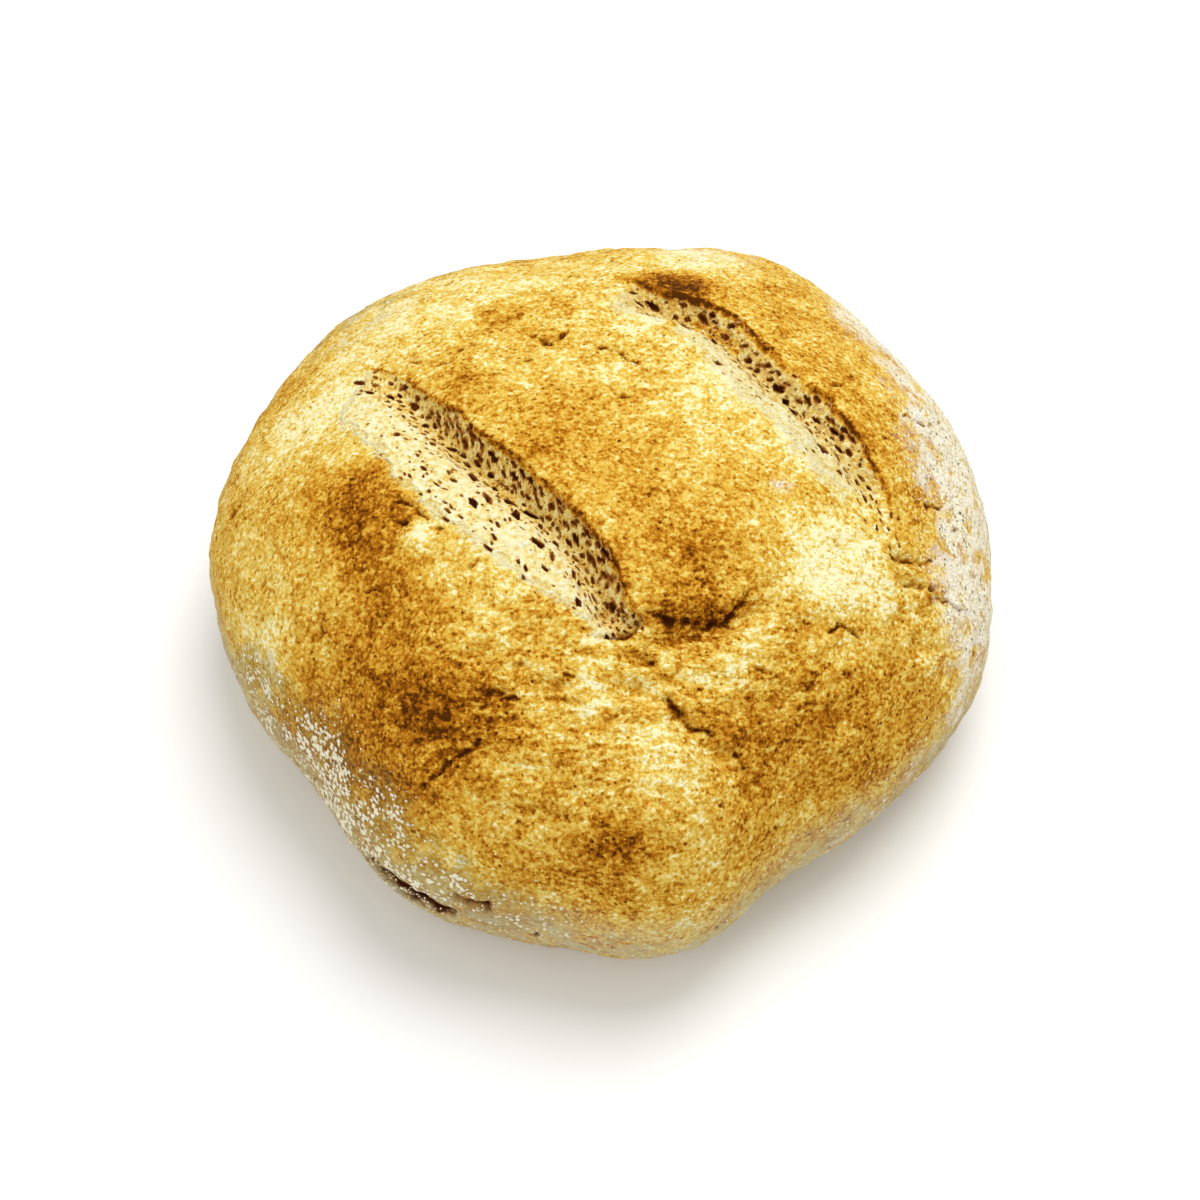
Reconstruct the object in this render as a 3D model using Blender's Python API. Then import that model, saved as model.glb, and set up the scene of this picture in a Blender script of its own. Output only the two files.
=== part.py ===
"""Whole wheat round loaf: one solid with a flat base, an uneven dome and two scored openings.

Metres, +Z up. The origin is the middle of the base, and -Y is the loaf's front.
"""

import math

import bmesh
import bpy
import numpy as np
from mathutils import Vector, noise

# Size of the plain loaf
HEIGHT = 0.100
WIDEST_HEIGHT = 0.030  # the side bulges most at this height
BASE_ROUNDING = 0.005  # soft corner between side and base
SHOULDER = 2.35  # over 2, the dome has fuller shoulders than a ball
CROWN = 2.1  # over 2, its top is flatter

# Plan radius every 20 degrees, from +X towards +Y, and the blunt nose at the front
OUTLINE = (
    0.117, 0.119, 0.121, 0.128, 0.122, 0.117, 0.120, 0.122, 0.120,
    0.117, 0.110, 0.105, 0.115, 0.115, 0.111, 0.106, 0.111, 0.116,
)
NOSE_AZIMUTH = 280.0
NOSE_SPREAD = 9.0
NOSE_REACH = 0.007

# Rounded masses and hollows of the dough: x, y, radius, height against the plain dome
SWELLS = (
    (-0.074, -0.034, 0.028, 0.0030),  # lobe left of the long score
    (-0.006, 0.016, 0.032, 0.0022),  # band between the scores
    (0.036, -0.028, 0.020, 0.0034),  # its thick front end
    (0.020, -0.101, 0.019, 0.0045),  # crest of the front
    (0.088, 0.030, 0.022, 0.0026),  # lobe right of the short score
    (0.014, -0.074, 0.014, -0.0045),  # saddle behind the front crest
    (-0.088, 0.026, 0.018, -0.0025),  # dip where the long score starts
)

# Uneven dough: wavelength and height of each layer of lumps
CRUST_LUMPS = ((0.050, 0.0015), (0.019, 0.0007), (0.009, 0.0003))
CRUMB_LUMPS = ((0.0065, 0.0010),)
LUMP_START_HEIGHT = 0.012  # lumps fade out below this, so that the base stays flat

# Scored openings. The crumb falls towards the line, and then a steep torn wall rises to the crust's lip.
# sway is how far the line lies outside its arc at even shares of its length, narrowed the crumb's share
# of width at the ends, and fade the share of length of each run-out.
LONG_SCORE = dict(
    start=(-0.074, 0.036), end=(0.009, -0.061), bow=0.011,
    sway=(0.0018, 0.0024, 0.0012, 0.0007, 0.0002, 0.0004, 0.0014, 0.0036, 0.0050, 0.0044, 0.0020),
    width=0.030, narrowed=0.55, depth=0.0085, lift=0.0016, overhang=0.0010, foot=0.0045,
    fade=(0.30, 0.09),
)
SHORT_SCORE = dict(
    start=(0.001, 0.066), end=(0.080, -0.027), bow=0.015,
    sway=(0.0008, 0.0032, 0.0072, 0.0080, 0.0044, 0.0024, 0.0044, 0.0052, 0.0044, 0.0030, 0.0016),
    width=0.025, narrowed=0.60, depth=0.0062, lift=0.0014, overhang=0.0010, foot=0.0040,
    fade=(0.14, 0.28),
)
SCORES = (LONG_SCORE, SHORT_SCORE)
CRUMB_NARROWING = (0.40, 0.30)  # shares of length over which the crumb narrows to its ends
CRUMB_FALL = 1.25  # over 1, the crumb drops faster near the wall
FOOT_RUN = 0.014  # strip of crumb that gives way to the wall's foot
LIP_RUN = 0.0042  # strip of crust that becomes the lip's inner wall
LIP_BLEND = 0.016  # crust behind the lip that rises with it
TORN_WAVELENGTH = 0.011
TORN_REACH = 0.0011  # how far the lip's edge strays from its line

# Creases of the top: start, end, bow, width, depth
CREASES = (
    ((0.008, -0.062), (0.052, -0.042), -0.004, 0.0070, 0.0034),  # under the band's front end
    ((0.002, -0.067), (0.044, -0.090), -0.003, 0.0060, 0.0022),  # right of the saddle
    ((-0.046, -0.093), (-0.032, -0.068), 0.002, 0.0070, 0.0014),  # left of the front crest
)

# Split low on the side: from and to as azimuth in degrees and height, then width and depth
SPLIT_AZIMUTH = (229.0, 250.0)
SPLIT_HEIGHT = (0.026, 0.021)
SPLIT_WIDTH = 0.0040
SPLIT_DEPTH = 0.0045

# Mesh density: first division of the ball, and the finer faces by the openings
BALL_SUBDIVISIONS = 5
OPENING_MARGIN = 0.004
LIP_MARGIN = 0.0045
SNAP = 0.0006  # a point this close to a cut moves onto it
BASE_ANGLE = math.radians(143.0)  # the ball beyond this angle from its top is the base
UNDERSIDE_ANGLE = math.radians(120.0)
SMOOTH_ANGLE = math.radians(35.0)

CRUST_COLOR = (0.56, 0.30, 0.07, 1.0)
CRUST_ROUGHNESS = 0.85


def smooth_curve(values, place, ends):
    """Reads a smooth curve through even values, at places counted in values.

    ends is wrap for a closed curve and clip for an open one.
    """
    first = np.floor(place).astype(int)
    t = place - first
    before, here, after, last = (np.take(values, first + step, mode=ends) for step in (-1, 0, 1, 2))
    return here + 0.5 * (
        (after - before) * t
        + (2.0 * before - 5.0 * here + 4.0 * after - last) * t**2
        + (3.0 * here - before - 3.0 * after + last) * t**3
    )


class Arc:
    """Line near a circular arc in plan. Its outer side is on the left from start to end if bow > 0."""

    def __init__(self, start, end, bow, sway=(0.0, 0.0)):
        start, end = np.array(start), np.array(end)
        chord = np.linalg.norm(end - start)
        self.along = (end - start) / chord
        self.outward = np.array([-self.along[1], self.along[0]]) * math.copysign(1.0, bow)
        self.radius = (chord**2 / 4.0 + bow**2) / (2.0 * abs(bow))
        self.centre = (start + end) / 2.0 + self.outward * (abs(bow) - self.radius)
        self.half_angle = math.asin(chord / 2.0 / self.radius)
        self.sway = np.array(sway)

    def line_radius(self, share):
        """Distance from the arc's centre to the line."""
        place = np.clip(share, 0.0, 1.0) * (len(self.sway) - 1)
        return self.radius + smooth_curve(self.sway, place, "clip")

    def place(self, points):
        """Share of the line's length that each point is at, and its distance to the outer side."""
        offset = points[:, :2] - self.centre
        share = 0.5 + np.arctan2(offset @ self.along, offset @ self.outward) / (2.0 * self.half_angle)
        return share, np.linalg.norm(offset, axis=1) - self.line_radius(share)

    def plan(self, share, across):
        """The plan points at a share and a distance: the way back from place."""
        turn = (share - 0.5) * 2.0 * self.half_angle
        ray = np.sin(turn)[:, None] * self.along + np.cos(turn)[:, None] * self.outward
        return self.centre + ray * (self.line_radius(share) + across)[:, None]

    def outer_directions(self, points):
        """Unit vectors in plan that point straight away from the arc's centre."""
        offset = points[:, :2] - self.centre
        offset /= np.linalg.norm(offset, axis=1)[:, None]
        return np.column_stack([offset, np.zeros(len(points))])


def score_arc(score):
    return Arc(score["start"], score["end"], score["bow"], score["sway"])


def crease_arc(crease):
    return Arc(*crease[:3])


def smoothstep(value):
    value = np.clip(value, 0.0, 1.0)
    return value * value * (3.0 - 2.0 * value)


def fade_ends(share, fade):
    """1 along the middle of a line, falling to 0 at its ends over two shares of its length."""
    return smoothstep(share / fade[0]) * smoothstep((1.0 - share) / fade[1])


def on_top(points):
    """1 on the dome, falling to 0 on the lower side, so that plan lines don't reach the underside."""
    return smoothstep((points[:, 2] / HEIGHT - 0.45) / 0.15)


def lumps(points, layers):
    """Sum of layers of smooth noise, each with a wavelength and a height."""
    return sum(
        height * np.array([noise.noise(Vector(point) / wavelength) for point in points])
        for wavelength, height in layers
    )


def outline_radius(azimuth):
    """Plan radius at an azimuth in radians: a smooth closed curve through OUTLINE, and the nose."""
    curve = smooth_curve(np.array(OUTLINE), azimuth / (2.0 * math.pi) * len(OUTLINE), "wrap")
    off_nose = (np.degrees(azimuth) - NOSE_AZIMUTH + 180.0) % 360.0 - 180.0
    return curve + NOSE_REACH * np.exp(-0.5 * (off_nose / NOSE_SPREAD) ** 2)


def dome_points(directions):
    """The plain loaf: points of a unit ball moved out to a bulging side, a full dome and a flat base."""
    azimuth = np.arctan2(directions[:, 1], directions[:, 0])
    angle = np.arccos(np.clip(directions[:, 2], -1.0, 1.0))
    ball_angles = (0.0, math.pi / 2.0, BASE_ANGLE, math.pi)
    angle = np.interp(angle, ball_angles, (0.0, math.pi / 2.0, UNDERSIDE_ANGLE, math.pi))
    out, up = np.sin(angle), np.cos(angle)
    upper = up >= 0.0
    radius = outline_radius(azimuth) * np.where(upper, out ** (2.0 / SHOULDER), out)
    dome = (HEIGHT - WIDEST_HEIGHT) * np.abs(up) ** (2.0 / CROWN)
    z = WIDEST_HEIGHT + np.where(upper, dome, -2.0 * WIDEST_HEIGHT * np.abs(up))
    near_floor = np.clip(1.0 - np.abs(z) / BASE_ROUNDING, 0.0, None)
    z = np.maximum(z, 0.0) + near_floor**2 * BASE_ROUNDING / 4.0
    return np.column_stack([radius * np.cos(azimuth), radius * np.sin(azimuth), z])


def swell_height(points):
    height = np.zeros(len(points))
    for x, y, radius, reach in SWELLS:
        away = np.hypot(points[:, 0] - x, points[:, 1] - y) / radius
        height += reach * np.exp(-0.5 * away**2)
    return height * smoothstep(points[:, 2] / WIDEST_HEIGHT)


def crease_depth(points, crease):
    width, depth = crease[3:]
    share, across = crease_arc(crease).place(points)
    strength = fade_ends(share, (0.3, 0.3)) * on_top(points)
    return depth * strength * np.exp(-((2.0 * across / width) ** 2))


def split_place(points):
    """Share of the side split's length that each point is at, and its distance above the split."""
    azimuth = np.degrees(np.arctan2(points[:, 1], points[:, 0])) % 360.0
    share = (azimuth - SPLIT_AZIMUTH[0]) / (SPLIT_AZIMUTH[1] - SPLIT_AZIMUTH[0])
    return share, points[:, 2] - (SPLIT_HEIGHT[0] + (SPLIT_HEIGHT[1] - SPLIT_HEIGHT[0]) * share)


def split_depth(points):
    share, above = split_place(points)
    return SPLIT_DEPTH * fade_ends(share, (0.3, 0.3)) * np.exp(-((2.0 * above / SPLIT_WIDTH) ** 2))


def crumb_width(score, share):
    narrowed = score["narrowed"]
    return score["width"] * (narrowed + (1.0 - narrowed) * fade_ends(share, CRUMB_NARROWING))


def crumb_lumps(points):
    """Coarse torn relief, on the crumb of the openings alone."""
    strength = np.zeros(len(points))
    for score in SCORES:
        share, across = score_arc(score).place(points)
        inner = across / crumb_width(score, share)
        inside = smoothstep(-8.0 * inner) * smoothstep(3.0 * (1.0 + inner))
        strength += inside * fade_ends(share, score["fade"])
    return strength * on_top(points) * lumps(points, CRUMB_LUMPS)


def open_score(points, normals, score):
    """Moves that tear one score open: falling crumb, the wall above it and the crust's raised lip."""
    arc = score_arc(score)
    share, across = arc.place(points)
    depth, lift = score["depth"], score["lift"]
    overhang = score["overhang"] + lumps(points, ((TORN_WAVELENGTH, TORN_REACH),))
    inner = np.clip(1.0 + across / crumb_width(score, share), 0.0, 1.0)  # 0 at the crumb's far edge
    wall = smoothstep(across / LIP_RUN)  # 0 at the wall's foot, 1 at the lip's edge
    back = np.clip((across - LIP_RUN) / LIP_BLEND, 0.0, 1.0)  # 0 at the lip's edge

    zones = [across < 0.0, across < LIP_RUN]
    foot_slide = -score["foot"] * smoothstep(1.0 + across / FOOT_RUN)
    edge_slide = -(overhang + LIP_RUN)
    wall_slide = -score["foot"] * (1.0 - wall) + edge_slide * wall
    slide = np.select(zones, [foot_slide, wall_slide], edge_slide * (1.0 - back) ** 2)
    wall_rise = (depth + lift) * wall - depth
    rise = np.select(zones, [-depth * inner**CRUMB_FALL, wall_rise], lift * (1.0 - smoothstep(back)))

    sideways = arc.outer_directions(points)
    sideways -= normals * np.sum(sideways * normals, axis=1)[:, None]
    strength = fade_ends(share, score["fade"]) * on_top(points)
    return (strength * slide)[:, None] * sideways + (strength * rise)[:, None] * normals


def bmesh_points(shape):
    return np.array([vertex.co for vertex in shape.verts])


def move_bmesh(shape, points):
    for vertex, point in zip(shape.verts, points):
        vertex.co = point


def near_openings(points):
    """True by the crumb and the lips of the scores."""
    found = np.zeros(len(points), bool)
    for score in SCORES:
        share, across = score_arc(score).place(points)
        inside = (across > -score["width"] - OPENING_MARGIN) & (across < LIP_RUN + OPENING_MARGIN)
        found |= inside & (share > -0.03) & (share < 1.03)
    return found & (points[:, 2] > 0.5 * HEIGHT)


def near_edges(points):
    """True by the lips, creases and side split, which need the finest faces."""
    found = np.zeros(len(points), bool)
    for score in SCORES:
        share, across = score_arc(score).place(points)
        found |= (np.abs(across - 0.5 * LIP_RUN) < LIP_MARGIN) & (share > 0.0) & (share < 1.0)
    for crease in CREASES:
        share, across = crease_arc(crease).place(points)
        found |= (np.abs(across) < crease[3]) & (share > 0.0) & (share < 1.0)
    found &= points[:, 2] > 0.5 * HEIGHT
    share, above = split_place(points)
    return found | (np.abs(above) < SPLIT_WIDTH) & (share > 0.0) & (share < 1.0)


def split_faces(ball, wanted):
    """Splits the ball's faces in four wherever wanted holds for their place on the loaf."""
    middles = np.array([face.calc_center_median().normalized() for face in ball.faces])
    chosen = [face for face, fine in zip(ball.faces, wanted(dome_points(middles))) if fine]
    edges = {edge for face in chosen for edge in face.edges}
    bmesh.ops.subdivide_edges(ball, edges=list(edges), cuts=1, use_grid_fill=True)
    bmesh.ops.triangulate(ball, faces=[face for face in ball.faces if len(face.verts) > 3])
    for vertex in ball.verts:
        vertex.co.normalize()


def lay_edges(shape, arc, across):
    """Lays edges along an arc at a distance, where a profile bends sharply.

    The loaf is straightened along the arc, cut by a plane, and bent back.
    """
    points = bmesh_points(shape)
    share, distance = arc.place(points)
    move_bmesh(shape, np.column_stack([share, distance, points[:, 2]]))
    top = [vertex for vertex in shape.verts if 0.0 < vertex.co.x < 1.0 and vertex.co.z > 0.5 * HEIGHT]
    top_faces = {face for vertex in top for face in vertex.link_faces}
    top_edges = {edge for face in top_faces for edge in face.edges}
    bmesh.ops.bisect_plane(
        shape, geom=top + list(top_edges) + list(top_faces), dist=SNAP,
        plane_co=(0.0, across, 0.0), plane_no=(0.0, 1.0, 0.0),
    )
    bmesh.ops.triangulate(shape, faces=[face for face in shape.faces if len(face.verts) > 3])
    straight = bmesh_points(shape)
    on_line = (straight[:, 0] > 0.0) & (straight[:, 0] < 1.0) & (straight[:, 2] > 0.5 * HEIGHT)
    straight[on_line & (np.abs(straight[:, 1] - across) < SNAP), 1] = across
    move_bmesh(shape, np.column_stack([arc.plan(straight[:, 0], straight[:, 1]), straight[:, 2]]))


def dissolve_base(shape):
    """Makes the flat middle of the base one face."""
    flat = [face for face in shape.faces if all(vertex.co.z == 0.0 for vertex in face.verts)]
    bmesh.ops.dissolve_faces(shape, faces=flat, use_verts=True)


def crust_material():
    material = bpy.data.materials.new("baked_crust")
    material.use_nodes = True
    shader = material.node_tree.nodes["Principled BSDF"]
    shader.inputs["Base Color"].default_value = CRUST_COLOR
    shader.inputs["Roughness"].default_value = CRUST_ROUGHNESS
    shader.inputs["Metallic"].default_value = 0.0
    return material


def make_loaf():
    bpy.ops.mesh.primitive_ico_sphere_add(subdivisions=BALL_SUBDIVISIONS, radius=1.0)
    loaf = bpy.context.object
    loaf.name = loaf.data.name = "loaf"

    shape = bmesh.new()
    shape.from_mesh(loaf.data)
    split_faces(shape, near_openings)
    split_faces(shape, near_edges)
    move_bmesh(shape, dome_points(bmesh_points(shape)))
    for score in SCORES:
        for across in (0.0, 0.5 * LIP_RUN, LIP_RUN):
            lay_edges(shape, score_arc(score), across)
    for crease in CREASES:
        lay_edges(shape, crease_arc(crease), 0.0)

    points = bmesh_points(shape)
    shape.normal_update()
    normals = np.array([vertex.normal for vertex in shape.verts])
    height = swell_height(points) + crumb_lumps(points)
    height += lumps(points, CRUST_LUMPS) * smoothstep(points[:, 2] / LUMP_START_HEIGHT)
    height -= split_depth(points) + sum(crease_depth(points, crease) for crease in CREASES)
    moved = points + height[:, None] * normals
    moved += sum(open_score(points, normals, score) for score in SCORES)
    moved[:, 2] = np.where(points[:, 2] == 0.0, 0.0, np.maximum(moved[:, 2], 0.0))
    moved[:, :2] -= (moved.min(axis=0) + moved.max(axis=0))[:2] / 2.0
    move_bmesh(shape, moved)
    dissolve_base(shape)
    shape.to_mesh(loaf.data)
    shape.free()

    loaf.data.shade_smooth()
    loaf.data.set_sharp_from_angle(angle=SMOOTH_ANGLE)
    loaf.data.materials.append(crust_material())
    return loaf


def main():
    for old in list(bpy.data.objects):
        bpy.data.objects.remove(old)
    loaf = make_loaf()
    collection = bpy.data.collections.new("whole_wheat_round_loaf")
    bpy.context.scene.collection.children.link(collection)
    for holder in list(loaf.users_collection):
        holder.objects.unlink(loaf)
    collection.objects.link(loaf)


main()
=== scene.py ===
# Whole wheat round loaf: the looks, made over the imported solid
import math
import random

import bmesh
import bpy
import numpy as np
from mathutils import Matrix, Vector, noise
from mathutils.kdtree import KDTree


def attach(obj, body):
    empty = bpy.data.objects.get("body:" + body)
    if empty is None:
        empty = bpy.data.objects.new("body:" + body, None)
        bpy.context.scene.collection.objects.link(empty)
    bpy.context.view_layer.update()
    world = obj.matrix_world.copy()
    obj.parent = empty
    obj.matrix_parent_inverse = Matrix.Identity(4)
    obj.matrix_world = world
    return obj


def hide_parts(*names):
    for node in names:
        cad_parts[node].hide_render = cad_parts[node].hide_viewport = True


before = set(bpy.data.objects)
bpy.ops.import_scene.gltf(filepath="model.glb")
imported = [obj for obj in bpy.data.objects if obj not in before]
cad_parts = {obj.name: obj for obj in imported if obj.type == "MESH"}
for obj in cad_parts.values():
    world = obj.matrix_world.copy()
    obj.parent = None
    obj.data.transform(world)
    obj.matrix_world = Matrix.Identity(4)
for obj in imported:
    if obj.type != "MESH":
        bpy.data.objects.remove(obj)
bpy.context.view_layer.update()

mm = 0.001

# The plain loaf, with the same sizes as the solid it replaces
dough = {
    "height": 100 * mm,
    "widestHeight": 30 * mm,
    "baseRounding": 5 * mm,
    "shoulder": 2.35,
    "crown": 2.1,
    "outline": [v * mm for v in (117, 119, 121, 128, 122, 117, 120, 122, 120,
                                 117, 110, 105, 115, 115, 111, 106, 111, 116)],
    "noseAzimuth": 280.0,
    "noseSpread": 9.0,
    "noseReach": 7 * mm,
    "baseAngle": math.radians(143),
    "undersideAngle": math.radians(120),
    "lumps": ((50, 1.5), (19, 0.7), (9, 0.3)),  # wavelength and height in mm
    "lumpStart": 12 * mm,
    # x, y, radius and height in mm of each rounded mass or hollow
    "swells": (
        (-74, -34, 28, 3.0),
        (-6, 16, 32, 2.2),
        (36, -28, 20, 3.4),
        (20, -101, 19, 4.5),
        (88, 30, 22, 2.6),
        (14, -74, 14, -4.5),
        (-88, 26, 18, -2.5),
    ),
    # folds of the top: start, end, bow, width and depth in mm
    "folds": (
        ((8, -62), (52, -42), -4, 7.0, 3.4),
        ((2, -67), (44, -90), -3, 6.0, 2.2),
        ((-46, -93), (-32, -68), 2, 7.0, 1.4),
    ),
    "splitAzimuth": (229.0, 250.0),
    "splitHeight": (26 * mm, 21 * mm),
    "splitWidth": 4.0 * mm,
    "splitDepth": 4.5 * mm,
    "topFrom": 0.45,  # the scores and folds come in from this share of the height up, over topRun
    "topRun": 0.15,
}

# The two scores, in mm: crumb falls towards the line, then a torn wall rises to the crust's lip.
# Their ends close, and their crumb ends, over the shares of the length in fade and crumbFade.
scores = {
    "long": {
        "start": (-74, 36), "end": (9, -61), "bow": 11,
        "sway": (1.8, 2.4, 1.2, 0.7, 0.2, 0.4, 1.4, 3.6, 5.0, 4.4, 2.0),
        "width": 30, "narrowed": 0.55, "depth": 8.0, "lift": 1.6, "overhang": 1.0, "foot": 7.0,
        "fade": (0.40, 0.09), "crumbFade": (0.08, 0.07), "crumbShow": 1.0,
    },
    "short": {
        "start": (1, 66), "end": (80, -27), "bow": 15,
        "sway": (0.8, 3.2, 7.2, 8.0, 4.4, 2.4, 4.4, 5.2, 4.4, 3.0, 1.6),
        "width": 25, "narrowed": 0.60, "depth": 5.6, "lift": 1.2, "overhang": 1.0, "foot": 6.5,
        "fade": (0.16, 0.40), "crumbFade": (0.10, 0.30), "crumbShow": 0.62,
    },
}
# How both are torn
tear = {
    "narrowing": (0.40, 0.30),
    "fall": 1.25,
    "footRun": 16 * mm,
    "lipRun": 4.2 * mm,
    "lipBlend": 16 * mm,
    "edgeStray": ((11, 1.1), (4.0, 0.7), (1.8, 0.3)),  # how the torn edge wanders: wavelength, reach in mm
    "lumps": ((6.5, 1.0),),
    "lumpsIn": (8, 3),  # how fast the lumps come in, from the line and from the crumb's border
    "strands": ((3.4, 0.65), (1.5, 0.30)),  # torn crumb, drawn out along the score
    "strandStretch": 2.6,
    "lipLine": 0.5 * mm,  # dark line along the lip, partly scorched crust and partly painted shade under the lip's edge: its width, its place, and its noise
    "lipLineInset": 0.7 * mm,
    "lipWander": ((3.0, 0.5),),
    "lipUneven": ((9.0, 1.2),),
    "ragged": ((5.0, 1.0), (2.0, 0.5)),  # how the crumb's border wanders
    "edgeInset": 0.9 * mm,  # the crumb ends this far inside the lip
    "edgeRun": 0.7 * mm,
    "edgeRagged": 0.6,
    "border": 10 * mm,  # and fades out over this much at its other side
    "borderRagged": 2.5,
    "widened": 0.25,  # it is this much wider near a score's start
    "widenedShare": 0.35,
    "wallFrom": 9 * mm,  # the wall's look comes in before the line and ends past the lip
    "wallRun": 8 * mm,
    "wallPast": 1 * mm,
}

# Fine surface of the loaf, in mm
surface = {
    "inset": np.array((0.9905, 0.9905, 0.994)),  # room for the fine relief inside the solid's box
    "ballSubdivisions": 7,
    "openingCuts": 2,
    "openingMargin": 1.0,
    "openingFrom": 0.5,  # share of the height above which the scores get finer faces
    "crackReach": 1.2,
    "crackCuts": 2,
    "crackBox": 8.0,
    "crackInCrumb": 0.8,  # cracks lose this share of their depth in the crumb
    "crackArea": 0.5,  # faces smaller than this aren't split again at a crack, in square mm
    "pathReach": 6.0,  # a path counts from this far above or below the surface
    "warp": ((6.0, 1.8), (2.2, 1.1)),  # noise that makes straight paths crooked
    "floorBlend": 8.0,  # height over which the fine relief comes in above the floor
    "rough": ((7.0, 0.55), (4.0, 0.45)),  # wavelength, height of the crust's fine relief
    "wrinkleWave": 6.5,
    "wrinkleHeight": 0.9,
    "wrinkleDrawn": np.array((0.42, 1.0, 0.8)),  # wrinkles are longest along the first axis
    "wrinkleFold": 1.6,
    "wrinkleFrom": 30,  # height from which there are wrinkles, and over which they come in
    "wrinkleRun": 20,
    "streaks": 0.7,  # streaky colour low on the sides: its amount, its top, and its fade
    "streaksBelow": 44,
    "streaksRun": 20,
    # where shallow wrinkles run side to side: x, y, radius, amount
    "wrinkled": ((-25, -72, 26, 0.9), (86, -32, 20, 1.0), (14, -62, 20, 0.8), (-2, 38, 28, 0.5),
                 (48, -62, 24, 0.9), (98, 20, 16, 0.7), (-45, 5, 20, 0.3), (10, -95, 24, 0.6)),
}

# Thin cracks: each by its places on the crust, then its width and depth, in mm
cracks = (
    (((88, 24, 82), (92, 25, 78), (95, 27, 75), (98, 31, 71), (101, 35, 66)), 1.2, 0.9),
    (((90, -6, 79), (93, -4, 76), (97, -3, 72)), 1.2, 1.1),
    (((81, -26, 81), (87, -25, 77), (91, -23, 75), (95, -20, 72)), 1.3, 0.8),
    (((84, -33, 77), (87, -31, 75), (91, -31, 72), (95, -31, 69)), 1.3, 0.9),
    (((95, -31, 69), (98, -31, 66), (102, -31, 61)), 1.0, 0.7),
    (((76, -44, 78), (78, -44, 76), (81, -43, 75)), 1.0, 0.7),
    (((59, -26, 92), (61, -28, 91), (65, -28, 89)), 0.9, 0.6),
    (((62, -52, 83), (64, -50, 83), (67, -50, 81), (71, -51, 78)), 1.1, 0.8),
    (((18, -75, 83), (20, -77, 82), (24, -80, 79), (28, -82, 77)), 1.5, 1.4),
    (((28, -82, 77), (33, -84, 75), (38, -88, 70)), 1.8, 0.7),
    (((4, -56, 89), (6, -58, 90), (9, -57, 91)), 2.0, 2.0),
    (((0, -60, 89), (3, -59, 90), (6, -58, 91)), 1.3, 1.3),
    (((12, -53, 94), (19, -55, 91), (26, -54, 89)), 1.8, 1.3),
    (((26, -54, 89), (30, -54, 88), (34, -53, 88)), 1.6, 1.2),
    (((34, -53, 88), (36, -51, 89), (38, -48, 91), (40, -45, 92)), 1.5, 0.9),
    (((4, -60, 90), (5, -58, 90), (9, -58, 91), (11, -57, 91)), 1.2, 1.2),
    (((10, -65, 88), (14, -64, 87)), 1.4, 1.0),
    (((41, -65, 83), (48, -65, 81)), 1.0, 0.6),
    (((21, -63, 87), (25, -62, 86)), 1.2, 0.8),
    (((-33, -83, 78), (-36, -86, 75), (-42, -88, 70), (-49, -92, 64)), 1.2, 0.8),
    (((-30, -73, 85), (-26, -73, 86), (-22, -74, 85)), 1.4, 0.8),
    (((-26, -67, 88), (-20, -67, 89)), 1.2, 0.6),
    (((-10, -70, 88), (-5, -70, 88)), 1.2, 0.6),
    (((1, -81, 83), (5, -79, 84), (13, -79, 83)), 1.2, 0.7),
    (((-13, -76, 85), (-6, -76, 85)), 1.1, 0.6),
    (((-39, -110, 37), (-35, -111, 37), (-31, -112, 37)), 3.4, 3.2),
    (((-64, -95, 30), (-56, -102, 29), (-51, -105, 28), (-47, -108, 28), (-42, -110, 27)), 5.4, 3.6),
    (((-63, -95, 28), (-56, -102, 27), (-51, -105, 26), (-47, -108, 26), (-43, -110, 25)), 4.0, 2.6),
    (((-74, -88, 21), (-64, -95, 30)), 2.6, 2.2),
    (((-42, 36, 95), (-40, 39, 95), (-35, 40, 96)), 1.1, 0.8),
    (((-46, 32, 95), (-42, 33, 96)), 1.1, 0.8),
    (((-25, 29, 99), (-20, 29, 100)), 1.2, 0.8),
    (((-20, 40, 98), (-19.5, 40, 98)), 1.5, 1.1),
    (((-17, 38, 99), (-15, 37, 99)), 1.7, 1.5),
    (((-13, 40, 98), (-10, 42, 98)), 1.4, 1.2),
    (((-2, 35, 99), (4, 33, 99), (9, 30, 100), (14, 25, 100)), 1.0, 0.8),
    (((-11, 72, 89), (-8, 75, 88), (-2, 71, 90)), 1.2, 0.9),
    (((2, 82, 84), (6, 84, 83)), 1.2, 0.9),
    (((-57, -22, 93), (-53, -23, 94)), 1.4, 1.2),
    (((-56, -17, 94), (-52, -19, 95), (-47, -24, 96)), 1.1, 0.8),
    (((-43, -27, 96), (-42, -27, 96)), 1.4, 1.2),
    (((-106, 4, 64), (-108, 4, 60)), 1.6, 1.2),
    (((-114, 8, 52), (-114, 3, 50)), 1.5, 1.0),
)
strayCracks = {"count": 60, "length": (0.4, 4.5), "width": (0.8, 1.3), "depth": (0.5, 1.1), "lowest": 22,
               "seed": 5}
# How all cracks look: their strength along the path, then how sharp the groove and its dark are; the dark is
# partly real browning and partly painted shade that deepens with the groove
crackForm = {
    "strength": 0.9,
    "uneven": 2.2,  # shallow cracks come and go the most
    "unevenWaves": ((3.0, 1.0),),
    "strongest": 1.6,
    "groove": 1.8,
    "dark": 2.1,
    "shadeForDepth": 0.6,  # how much painted shade each mm of depth adds
}

# Raised skin: a second torn lip in the short score, a blister, and the fold's flaky rim.
# Places, width and height in mm, then how brown it is.
ridges = (
    (((17, 41, 96), (21, 49, 90), (28, 50, 92), (35, 46, 92), (39, 40, 91)), 2.4, 0.9, 0.22),
    (((-50, -29, 94), (-49.5, -29, 94)), 7.0, 1.3, -0.5),
    (((16, -51, 94), (24, -50, 94), (32, -49, 92), (38, -45, 92)), 3.0, 0.9, 0.0),
    (((2, -63, 88), (9, -70, 86), (18, -73, 84)), 3.0, 0.8, -0.1),
)


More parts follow.
